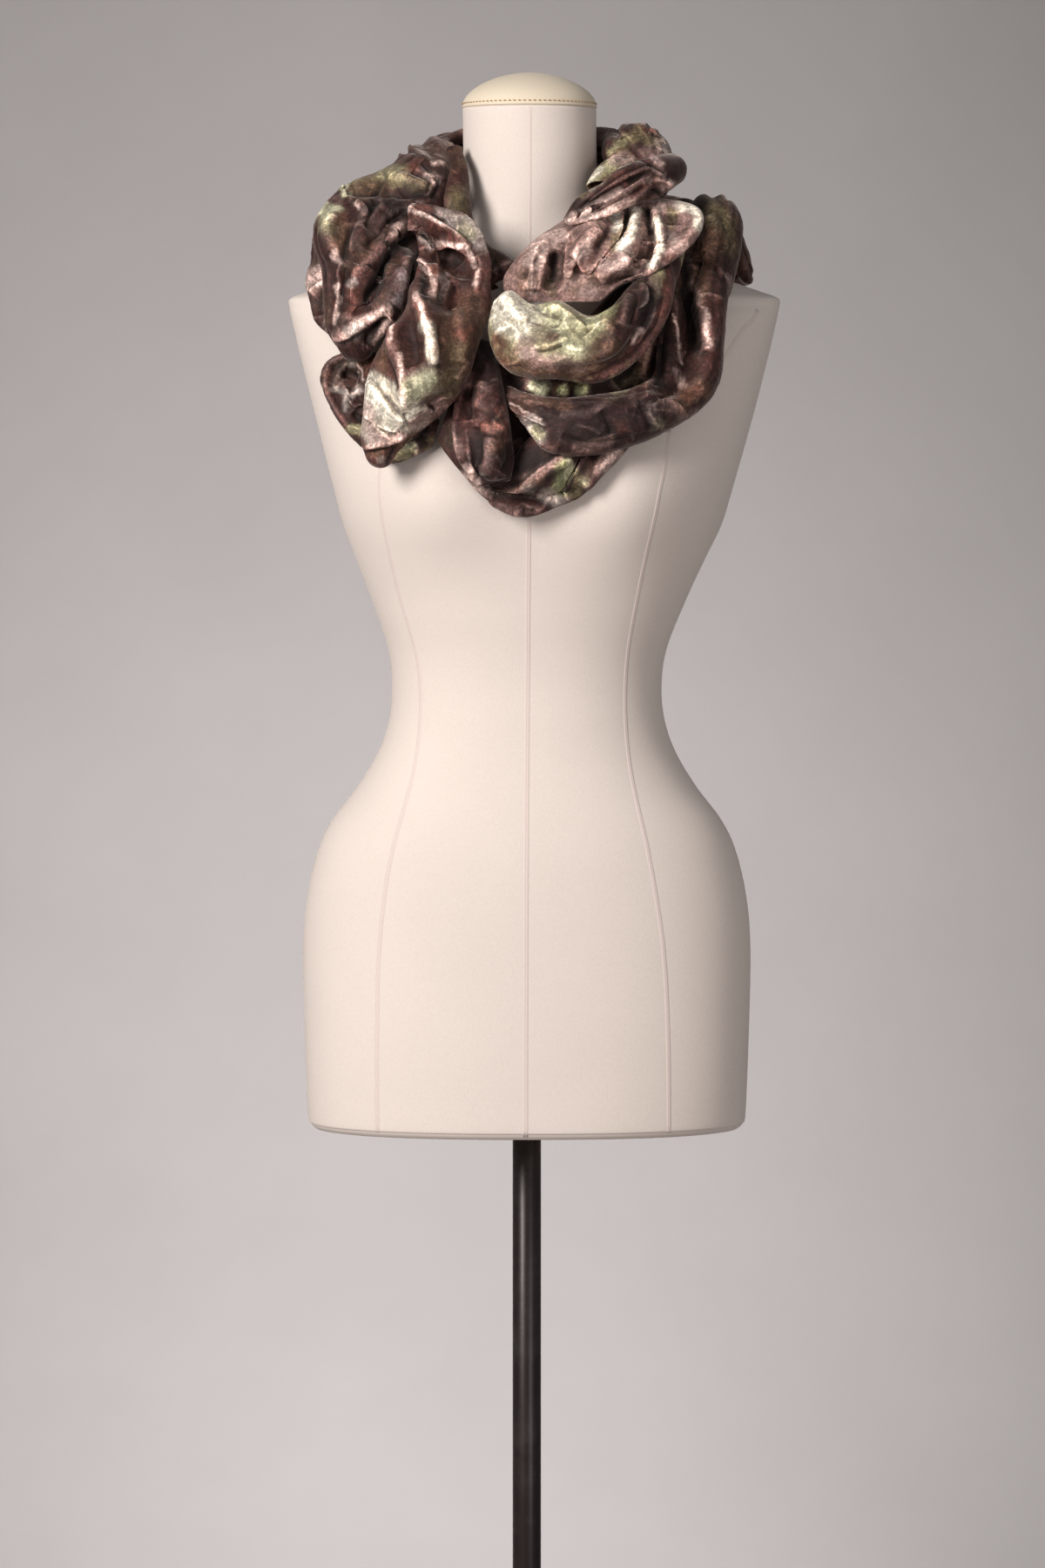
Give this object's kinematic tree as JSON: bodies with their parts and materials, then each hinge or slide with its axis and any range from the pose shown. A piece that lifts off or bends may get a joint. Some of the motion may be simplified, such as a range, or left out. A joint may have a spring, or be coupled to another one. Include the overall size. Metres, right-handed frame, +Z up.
{
  "type": "velvet scarf wound round a limbless dress form on a pole stand",
  "caption": "Wide velvet scarf wound twice round the neck of a limbless dress form, twisted and draped in deep folds over the chest, on a slim pole with a round base.",
  "frame": {"origin": "on the floor at the pole's axis, the centre of the base plate's underside", "axes": "+Z up along the pole, -Y to the front of the form, +X to the form's left side (the viewer's right)"},
  "size_m": [0.3944, 0.3487, 1.6258],
  "materials": {
    "base_plate": "satin dark brown paint",
    "stand_pole": "satin dark brown metal",
    "form_body": "pale cream jersey stretched over a hard shell",
    "neck_cap": "smooth cream paint",
    "inner_front_layer": "crushed velvet, dye-mottled",
    "bottom_loop": "crushed velvet, dye-mottled",
    "centre_drape": "crushed velvet, dye-mottled",
    "outer_right_band": "crushed velvet, dye-mottled",
    "front_band": "crushed velvet, dye-mottled",
    "right_fan": "crushed velvet, dye-mottled",
    "twist_wrap": "crushed velvet, dye-mottled",
    "right_neck_loop": "crushed velvet, dye-mottled",
    "neck_back_band": "crushed velvet, dye-mottled",
    "shoulder_back_band": "crushed velvet, dye-mottled",
    "left_swirl": "crushed velvet, dye-mottled",
    "left_shoulder_layer": "crushed velvet, dye-mottled",
    "left_lower_loop": "crushed velvet, dye-mottled",
    "left_tongue": "crushed velvet, dye-mottled",
    "throat_fold": "crushed velvet, dye-mottled"
  },
  "bodies": {
    "root": {"base_plate": "base_plate", "stand_pole": "stand_pole", "form_body": "form_body", "neck_cap": "neck_cap", "inner_front_layer": "inner_front_layer", "bottom_loop": "bottom_loop", "centre_drape": "centre_drape", "outer_right_band": "outer_right_band", "front_band": "front_band", "right_fan": "right_fan", "twist_wrap": "twist_wrap", "right_neck_loop": "right_neck_loop", "neck_back_band": "neck_back_band", "shoulder_back_band": "shoulder_back_band", "left_swirl": "left_swirl", "left_shoulder_layer": "left_shoulder_layer", "left_lower_loop": "left_lower_loop", "left_tongue": "left_tongue", "throat_fold": "throat_fold"}
  },
  "joints": []
}
